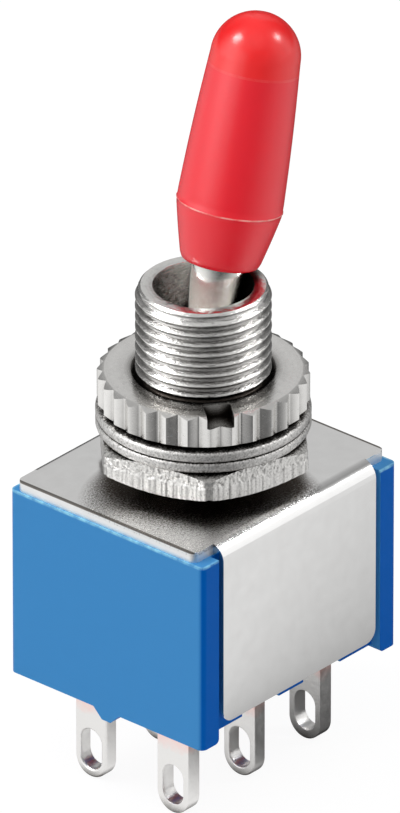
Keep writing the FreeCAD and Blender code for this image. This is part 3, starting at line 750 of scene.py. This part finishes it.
def sleeve_profile():
    """Open profile of the sleeve's outside, from the lever's hole round the mouth to the gate mark."""
    mouth = SLEEVE_UP - SLEEVE_LONG
    ridge_up = SLEEVE_UP - RIDGE_DOWN
    seam_up = SLEEVE_UP - SEAM_DOWN
    dome_up = SLEEVE_UP - DOME_R
    end_soft = 0.12
    profile = [(SHANK_R + SLEEVE_FIT, mouth + 0.02), (SLEEVE_END_R - end_soft, mouth),
               (SLEEVE_END_R - 0.03, mouth + 0.035), (SLEEVE_END_R + 0.012, mouth + end_soft)]
    for step in range(1, 12):
        share = step / 12
        r = SLEEVE_END_R + (RIDGE_R - SLEEVE_END_R) * share
        profile.append((r + 0.02 * math.sin(math.pi * share), mouth + (ridge_up - mouth) * share))
    profile += [(RIDGE_R - 0.035, ridge_up - 0.05), (RIDGE_R - 0.006, ridge_up - 0.015),
                (RIDGE_R, ridge_up), (RIDGE_R - 0.006, ridge_up + 0.015),
                (RIDGE_R - 0.03, ridge_up + 0.06)]
    for step in range(1, 20):
        share = step / 20
        up = ridge_up + (dome_up - ridge_up) * share
        swell = 0.045 * math.sin(math.pi * share) - 0.02 * (1 - share)
        seam = 0.012 * math.exp(-((up - seam_up) / 0.05) ** 2)
        profile.append((RIDGE_R + (DOME_R - RIDGE_R) * share + swell + seam, up))
    for step in range(28):
        angle = math.pi / 2 * step / 28
        r = DOME_R * math.cos(angle)
        inside_gate = min(max((GATE_R - r) / GATE_SOFT, 0.0), 1.0)
        profile.append((r, dome_up + DOME_R * math.sin(angle) - GATE_DEEP * inside_gate))
    return profile


def ragged_ridge(angle):
    return RIDGE_R + 0.02 * noise.noise((9 * math.cos(angle), 9 * math.sin(angle), 1))


def make_sleeve():
    bm = bmesh.new()
    columns = 128
    rings = [ring_points(r if r < RIDGE_R else ragged_ridge, z, columns) for r, z in sleeve_profile()]
    rows = join_rings(bm, rings, False)
    close_fan(bm, rows[-1], bm.verts.new((0, 0, SLEEVE_UP - GATE_DEEP)))
    hole = [(LEVER_TIP_R + SLEEVE_FIT, LEVER_UP - LEVER_BEVEL),
            (LEVER_TIP_R - LEVER_BEVEL + 0.01, LEVER_UP + 0.015), (0.5, LEVER_UP + 0.02)]
    inside = join_rings(bm, [ring_points(r, z, columns) for r, z in hole], False)
    bridge(bm, inside[0], rows[0])
    close_fan(bm, inside[-1], bm.verts.new((0, 0, LEVER_UP + 0.02)))
    lean(bm)
    new_piece("sleeve_moulding", bm, "lever", ["lever_sleeve"], RED, 60)


# Fluted face nut

def flute_radius(angle):
    """The fluted outline: bulging teeth that meet in narrow grooves."""
    off = abs((angle * FLUTES / (2 * math.pi) + 0.5) % 1.0 - 0.5) * 2
    return FACE_NUT_R - FLUTE_DEEP * (1 - max(off, GROOVE_SHARE)) ** TOOTH_BULGE


def make_face_nut():
    base = PLATE_TOP + HEX_UP + HEX_THICK + 2 * WASHER_THICK
    top = base + SEAT_BEVEL + FACE_NUT_TALL
    columns = FLUTES * 20

    def on_seat(angle):
        return base + SEAT_BEVEL * (flute_radius(angle) - SEAT_R) / (FACE_NUT_R - SEAT_R)

    def on_bevel(angle):
        return top - FACE_BEVEL * (flute_radius(angle) - FACE_TOP_R) / (FACE_NUT_R - FACE_TOP_R)

    outline = [(NUT_BORE_R, base), (SEAT_R, base), (flute_radius, on_seat), (flute_radius, on_bevel),
               (FACE_TOP_R - 0.02, top - 0.004), (FACE_TOP_R - 0.06, top), (SINK_R + 0.04, top),
               (SINK_R, top - 0.012), (NUT_BORE_R, top - SINK_DEEP)]
    bm = bmesh.new()
    join_rings(bm, [ring_points(r, z, columns) for r, z in outline], True)
    bmesh.ops.recalc_face_normals(bm, faces=bm.faces)
    cut_slots(bm, top)
    bmesh.ops.transform(bm, matrix=Matrix.Rotation(SLOT_TURN, 4, "Z"), verts=bm.verts)
    new_piece("fluted_nut", bm, "housing", ["face_nut"], BRIGHT, 25)


def cut_slots(bm, top):
    """Cuts the two spanner slots out of a nut by boolean."""
    nut = plain_object("nut_work", bm)
    tool = bmesh.new()
    for side in (-1, 1):
        made = bmesh.ops.create_cube(tool, size=1.0)
        long = FACE_NUT_R + 1 - SLOT_IN_R
        centre = (side * (SLOT_IN_R + long / 2), 0, top)
        bmesh.ops.scale(tool, vec=(long, SLOT_WIDE, 2 * SLOT_DEEP), verts=made["verts"])
        bmesh.ops.translate(tool, vec=centre, verts=made["verts"])
    cutter = plain_object("slot_work", tool)
    tool.free()
    boolean = nut.modifiers.new("slots", "BOOLEAN")
    boolean.operation = "DIFFERENCE"
    boolean.solver = "EXACT"
    boolean.object = cutter
    cut = shape_of(nut)
    bm.clear()
    bm.from_mesh(cut)
    bpy.data.meshes.remove(cut)
    for item in (nut, cutter):
        mesh = item.data
        bpy.data.objects.remove(item)
        bpy.data.meshes.remove(mesh)


def plain_object(name, bm):
    mesh = bpy.data.meshes.new(name)
    bm.to_mesh(mesh)
    made = bpy.data.objects.new(name, mesh)
    bpy.context.scene.collection.objects.link(made)
    return made


# Hexagon nut, bevelled underneath, with blanked sides

def hex_radius(angle):
    sector = math.pi / 3
    return HEX_FLATS / 2 / math.cos(angle % sector - sector / 2)


def rough_hex(angle, z):
    """The nut's side with its torn and streaked surface, always inside the plain hexagon."""
    r = min(hex_radius(angle), HEX_FLATS / math.sqrt(3) - HEX_CORNER_CUT)
    x, y = r * math.cos(angle), r * math.sin(angle)
    border = 0.5 + 0.1 * noise.noise((x * 1.5, y * 1.5, 5.0)) + 0.05 * noise.noise((x * 6, y * 6, 9.0))
    torn = min(max((z / HEX_THICK - border) / 0.08, 0.0), 1.0)
    streak = noise.noise((x * 6, y * 6, 2.0)) + 0.5 * noise.noise((x * 13, y * 13, 3.0))
    tear = noise.noise((x * 7, y * 7, z * 7)) + 0.7 * noise.noise((x * 14, y * 14, z * 14))
    depth = 0.026 + 0.03 * streak * (1 - torn) + torn * (0.036 + 0.036 * tear)
    return r - max(depth, 0.0)


def make_hex_nut():
    base = PLATE_TOP + HEX_UP
    columns, rows = 6 * 110, 26
    flat = HEX_FLATS / 2
    corner = HEX_FLATS / math.sqrt(3)

    def side_up(angle, share):
        """Height on the side between the two bevels, which are deepest at the corners."""
        past = max(0.0, hex_radius(angle) - flat) / (corner - flat)
        low = 0.02 + HEX_BEVEL * past
        return low + (HEX_THICK - 0.03 - HEX_TOP_BEVEL * past - low) * share

    rings = [ring_points(NUT_BORE_R, base, columns), ring_points(flat - 0.05, base, columns)]
    for row in range(rows + 1):
        share = row / rows
        rings.append(ring_points(lambda a, s=share: rough_hex(a, side_up(a, s)),
                                 lambda a, s=share: base + side_up(a, s), columns))
    rings += [ring_points(flat - 0.08, base + HEX_THICK, columns),
              ring_points(NUT_BORE_R, base + HEX_THICK, columns)]
    bm = bmesh.new()
    join_rings(bm, rings, True)
    bmesh.ops.transform(bm, matrix=Matrix.Rotation(HEX_TURN, 4, "Z"), verts=bm.verts)
    new_piece("hexagon_nut", bm, "housing", ["hex_nut"], GRANULAR, 30)


def make_washer(name, node, up, seed, roll):
    """A blanked washer with a slightly torn rim and a rolled upper edge."""
    columns = 240
    thick = WASHER_THICK

    def rim(inset, rough):
        def radius(angle):
            tear = noise.noise((math.cos(angle) * 30, math.sin(angle) * 30, seed))
            return WASHER_R - inset - rough * (0.5 + 0.5 * tear)
        return radius

    profile = [(WASHER_BORE_R, 0.0), (rim(0.16, 0.01), 0.0), (rim(0.04, 0.02), 0.07),
               (rim(0.0, 0.02), 0.17), (rim(0.0, 0.02), thick - roll),
               (rim(0.13 * roll, 0.015), thick - 0.5 * roll),
               (rim(0.5 * roll, 0.01), thick - 0.13 * roll), (rim(roll, 0.005), thick),
               (WASHER_BORE_R, thick)]
    bm = bmesh.new()
    join_rings(bm, [ring_points(r, PLATE_TOP + up + z, columns) for r, z in profile], True)
    new_piece(name, bm, "housing", [node], WASHER, 40)


# Mounting frame, folded from one sheet

def extruded(outline, low, high, place):
    """A prism over a closed outline, with place turning (u, v, along) into a point."""
    bm = bmesh.new()
    ends = [[bm.verts.new(place(u, v, along)) for u, v in outline] for along in (low, high)]
    bridge(bm, *ends)
    bm.faces.new(ends[0])
    bm.faces.new(ends[1])
    return bm


def across(u, v, along):
    return (along, u, v)


def arc(centre, radius, start, end, steps):
    """Points on an arc, with angles in degrees."""
    angles = [math.radians(start + (end - start) * i / steps) for i in range(steps + 1)]
    return [(centre[0] + radius * math.cos(a), centre[1] + radius * math.sin(a)) for a in angles]


def bent_outline():
    """The folded sheet seen from its end: plate, two bends and two flaps."""
    under = PLATE_TOP - PLATE_THICK
    back = FLAP_Y - PLATE_THICK
    halves = []
    for radius in (BACK_BEND_R, BEND_R):
        half = arc((FLAP_Y - radius, PLATE_TOP - radius), radius, 90, 0, 12)
        halves.append(half + [(FLAP_Y, FLAP_BASE), (back, FLAP_BASE), (back, under)])
    return halves[0] + [(-y, z) for y, z in reversed(halves[1])]


def tab_outline(side):
    """A tab folded under the case, from the flap's foot inwards."""
    base = FLAP_BASE - TAB_PAST
    root = FLAP_BASE + 0.4
    face = FLAP_Y - 0.02
    thick = PLATE_THICK - 0.04
    back = face - thick
    points = [(face, root)] + arc((back, base + thick), thick, 0, -90, 8)
    points += [(FLAP_Y - TAB_UNDER, base), (FLAP_Y - TAB_UNDER, base + thick), (back, root)]
    return [(side * y, z) for y, z in points]


def ear_outline():
    """The plate outside the flaps at one end, seen from above."""
    r = EAR_CORNER_R
    return ([(FLAP_X, EAR_FRONT_Y)] + arc((EAR_X - r, EAR_FRONT_Y + r), r, -90, 0, 6)
            + arc((EAR_X - r, EAR_BACK_Y - r), r, 0, 90, 6) + [(FLAP_X, EAR_BACK_Y)])


def middle(edge):
    return (edge.verts[0].co + edge.verts[1].co) / 2


def in_flap_plane(edge):
    """Whether an edge lies where the flaps end and the plate's ears begin."""
    return abs(abs(middle(edge).x) - FLAP_X) < 0.001


def at_ear(edge):
    """Whether an edge of the folded strip runs into an ear."""
    m = middle(edge)
    on_plate = m.z > PLATE_TOP - PLATE_THICK - 0.01 and abs(m.y) < FLAP_Y - BACK_BEND_R + 0.001
    return in_flap_plane(edge) and on_plate


def merge(whole, part):
    """Moves one bmesh's contents into another."""
    bmesh.ops.recalc_face_normals(part, faces=part.faces)
    mesh = bpy.data.meshes.new("part_work")
    part.to_mesh(mesh)
    part.free()
    whole.from_mesh(mesh)
    bpy.data.meshes.remove(mesh)


def make_frame_piece():
    whole = bmesh.new()
    strip = extruded(bent_outline(), -FLAP_X, FLAP_X, across)
    feet = [e for e in strip.edges if abs(middle(e).z - FLAP_BASE) < 0.001 and in_flap_plane(e)]
    bmesh.ops.bevel(strip, geom=feet, offset=FLAP_CORNER_R, segments=8, profile=0.5, affect="EDGES")
    soften_edges(strip, lambda e: not at_ear(e), 0.04)
    merge(whole, strip)
    for side in (-1, 1):
        ear = extruded(ear_outline(), PLATE_TOP - PLATE_THICK, PLATE_TOP,
                       lambda u, v, along, k=side: (k * u, v, along))
        soften_edges(ear, lambda e: not in_flap_plane(e), 0.21, 5)
        merge(whole, ear)
        for x in (-TAB_X, TAB_X):
            tab = extruded(tab_outline(side), x - TAB_WIDE / 2, x + TAB_WIDE / 2, across)
            soften_edges(tab, lambda e: True, 0.05)
            merge(whole, tab)
    for vert in whole.verts:
        vert.co.y = min(max(vert.co.y, -FLAP_Y), FLAP_Y)
    new_piece("mounting_frame", whole, "housing", ["frame"], SATIN, 40, True)


# Studio

WHITE = (1, 1, 1, 1)
SOFT_GREY = (0.4, 0.4, 0.4, 1)
OVERHEAD = (0.6, 0.6, 0.6)
PAPER = (0.85, 0.85, 0.85, 1)
PAPER_GLOW = 1.06

# How far the floor's own shade gives way to white before the camera
FLOOR_WHITE = 0.88

# What the metal reflects of the floor round about: (bearing in degrees, brightness)
GROUND = [(-180, 0.1), (-156, 0.14), (-136, 0.6), (-118, 1.0), (-90, 1.08), (-62, 0.9), (-30, 0.4),
          (0, 0.12), (30, 0.24), (60, 0.64), (80, 0.87), (112, 0.87), (132, 0.6), (154, 0.14),
          (180, 0.1)]
GROUND_MIDDLE = Vector((-3, -5.6, 0))

# What the metal reflects round the horizon: (bearing in degrees from the camera's side, brightness)
SURROUND = [(-180, 0.67), (-155, 0.3), (-128, 0.12), (-112, 0.6), (-92, 1.9), (-62, 1.9),
            (-38, 0.8), (-12, 0.35), (18, 0.3), (45, 0.5), (64, 0.9), (84, 1.1), (104, 1.3),
            (120, 0.35), (134, 0.1), (155, 0.3), (180, 0.67)]

# The same just over the horizon behind the switch, where it is darker
LOW_BEHIND = 0.08
BEHIND_FROM = 150


def area_light(name, place, aim, wide, tall, power, mirrored=True):
    """A rectangular lamp; unmirrored ones light the piece without showing in its shine."""
    lamp = bpy.data.lights.new(name, "AREA")
    lamp.shape = "RECTANGLE"
    lamp.size = wide * MM
    lamp.size_y = tall * MM
    lamp.energy = power
    made = bpy.data.objects.new(name, lamp)
    made.visible_glossy = mirrored
    bpy.context.scene.collection.objects.link(made)
    made.location = Vector(place) * MM
    made.rotation_euler = (Vector(aim) - Vector(place)).to_track_quat("-Z", "Y").to_euler()


def bearing_ramp(owner, vector, shades):
    """A brightness for each bearing of a vector seen from above."""
    parts = axes(owner, vector)
    bearing = calculate(owner, "ARCTAN2", parts["Y"], parts["X"])
    ramp = add_node(owner, "ShaderNodeValToRGB")
    stops = ramp.color_ramp.elements
    for index, (angle, bright) in enumerate(shades):
        inner = 0 < index < len(shades) - 1
        stop = stops.new((angle + 180) / 360) if inner else stops[0 if index == 0 else -1]
        stop.color = (bright, bright, bright, 1)
    wire(owner, band(owner, bearing, -math.pi, math.pi), ramp.inputs["Fac"])
    return ramp.outputs["Color"]


def from_view(owner, source, centre=(0, 0, 0)):
    """A vector turned about Z so that its bearings count from the photograph's side."""
    spin = add_node(owner, "ShaderNodeVectorRotate", rotation_type="Z_AXIS",
                    Angle=math.pi / 2 - VIEW_AZIMUTH, Center=centre)
    wire(owner, source, spin.inputs["Vector"])
    return spin.outputs[0]


def sky(world):
    """Brightness of the surroundings by bearing, grey overhead, as tent walls and flags make it."""
    coords = add_node(world, "ShaderNodeTexCoord")
    direction = from_view(world, coords.outputs["Generated"])
    height = axes(world, direction)["Z"]
    around = bearing_ramp(world, direction, SURROUND)
    dark_behind = [(angle, LOW_BEHIND if abs(angle) > BEHIND_FROM else bright)
                   for angle, bright in SURROUND]
    low_around = bearing_ramp(world, direction, dark_behind)
    rising = mixed(world, band(world, height, 0.12, 0.34), low_around, around)
    return mixed(world, band(world, height, 0.55, 0.95, shape="SMOOTHSTEP"), rising, OVERHEAD)


def either(owner, share, first, second):
    """One shader or the other, by share."""
    mix = add_node(owner, "ShaderNodeMixShader")
    for source, target in zip((share, first, second), mix.inputs):
        wire(owner, source, target)
    return mix.outputs[0]


def make_world():
    """White to the camera, the tent to shiny surfaces and soft grey light to the rest."""
    world = bpy.data.worlds.new("studio")
    bpy.context.scene.world = world
    world.use_nodes = True
    nodes = world.node_tree.nodes
    path = add_node(world, "ShaderNodeLightPath").outputs
    soft = nodes["Background"]
    soft.inputs["Color"].default_value = SOFT_GREY
    tent = add_node(world, "ShaderNodeBackground")
    wire(world, sky(world), tent.inputs["Color"])
    white = add_node(world, "ShaderNodeBackground", Color=WHITE)
    lit = either(world, path["Is Glossy Ray"], soft.outputs[0], tent.outputs[0])
    seen = calculate(world, "MAXIMUM", path["Is Camera Ray"], path["Is Transmission Ray"])
    last = either(world, seen, lit, white.outputs[0])
    wire(world, last, nodes["World Output"].inputs["Surface"])


def make_floor():
    """Pale paper, nearly white to the camera, whose brightness in metal goes by its bearing."""
    bm = bmesh.new()
    bmesh.ops.create_grid(bm, x_segments=1, y_segments=1, size=1200 * MM)
    floor = plain_object("floor", bm)
    bm.free()
    material = bpy.data.materials.new("floor_white")
    material.use_nodes = True
    nodes = material.node_tree.nodes
    nodes.remove(nodes["Principled BSDF"])
    paper = add_node(material, "ShaderNodeBsdfDiffuse", Color=PAPER)
    glow = add_node(material, "ShaderNodeEmission", Strength=PAPER_GLOW)
    path = add_node(material, "ShaderNodeLightPath").outputs
    whitened = calculate(material, "MULTIPLY", path["Is Camera Ray"], FLOOR_WHITE)
    plain = either(material, whitened, paper.outputs[0], glow.outputs[0])
    where = add_node(material, "ShaderNodeNewGeometry")
    spot = from_view(material, where.outputs["Position"], GROUND_MIDDLE * MM)
    mirrored = add_node(material, "ShaderNodeEmission")
    wire(material, bearing_ramp(material, spot, GROUND), mirrored.inputs["Strength"])
    last = either(material, path["Is Glossy Ray"], plain, mirrored.outputs[0])
    wire(material, last, nodes["Material Output"].inputs["Surface"])
    floor.data.materials.append(material)


def make_camera():
    ahead = Vector((-math.sin(VIEW_AZIMUTH) * math.cos(VIEW_RISE),
                    math.cos(VIEW_AZIMUTH) * math.cos(VIEW_RISE), -math.sin(VIEW_RISE)))
    right = ahead.cross(Vector((0, 0, 1))).normalized()
    above = right.cross(ahead)
    aim = AIM - right * (AIM_OFF_RIGHT / PIXELS_PER_MM) + above * (AIM_OFF_DOWN / PIXELS_PER_MM)
    data = bpy.data.cameras.new("camera")
    data.sensor_fit = "VERTICAL"
    data.sensor_height = SENSOR_TALL
    data.lens = PIXELS_PER_MM * VIEW_FAR * SENSOR_TALL / IMAGE_TALL
    data.clip_end = 10
    camera = bpy.data.objects.new("camera", data)
    bpy.context.scene.collection.objects.link(camera)
    camera.location = (aim - ahead * VIEW_FAR) * MM
    camera.rotation_euler = ahead.to_track_quat("-Z", "Y").to_euler()
    bpy.context.scene.camera = camera


# CAD nodes inside the case that stay as they are, with their finish
INSIDE = {"pivot_pin": LEVER, "actuator_yoke": BLACK, "rocker_a": SILVER, "rocker_b": SILVER,
          "contact_a1": SILVER, "contact_a3": SILVER, "contact_b1": SILVER, "contact_b3": SILVER,
          "plunger_a": BRASS, "plunger_b": BRASS, "spring_a": STEEL, "spring_b": STEEL}

make_camera()
make_world()
make_floor()
area_light("key", (-126, 132, 245), (0, 0, 20), 85, 85, 0.3)
area_light("left", (-228, 55, 105), (0, 0, 12), 250, 150, 0.055)
area_light("fill", (160, -135, 215), (0, 0, 20), 55, 55, 0.13)
area_light("top", (-60, -40, 225), (0, 0, 15), 180, 180, 0.13, mirrored=False)

make_bushing()
make_lever()
make_sleeve()
make_face_nut()
make_hex_nut()
washer_up = HEX_UP + HEX_THICK
make_washer("lower_washer", "plain_washer", washer_up, 3.0, LOWER_WASHER_ROLL)
make_washer("upper_washer", "lock_washer", washer_up + WASHER_THICK, 11.0, UPPER_WASHER_ROLL)
refined("case_moulding", "case", BLUE, 0.2, 4)
make_frame_piece()
for row in ("a", "b"):
    refined(f"seal_{row}_resin", f"seal_{row}", RESIN, 0.05)
    for number in (1, 2, 3):
        refined(f"lug_{row}{number}", f"terminal_{row}{number}", TIN, 0.12, 4)
for name, finish in INSIDE.items():
    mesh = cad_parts[name].data
    mesh.materials.clear()
    mesh.materials.append(finish)

bpy.context.scene.view_settings.view_transform = "Standard"
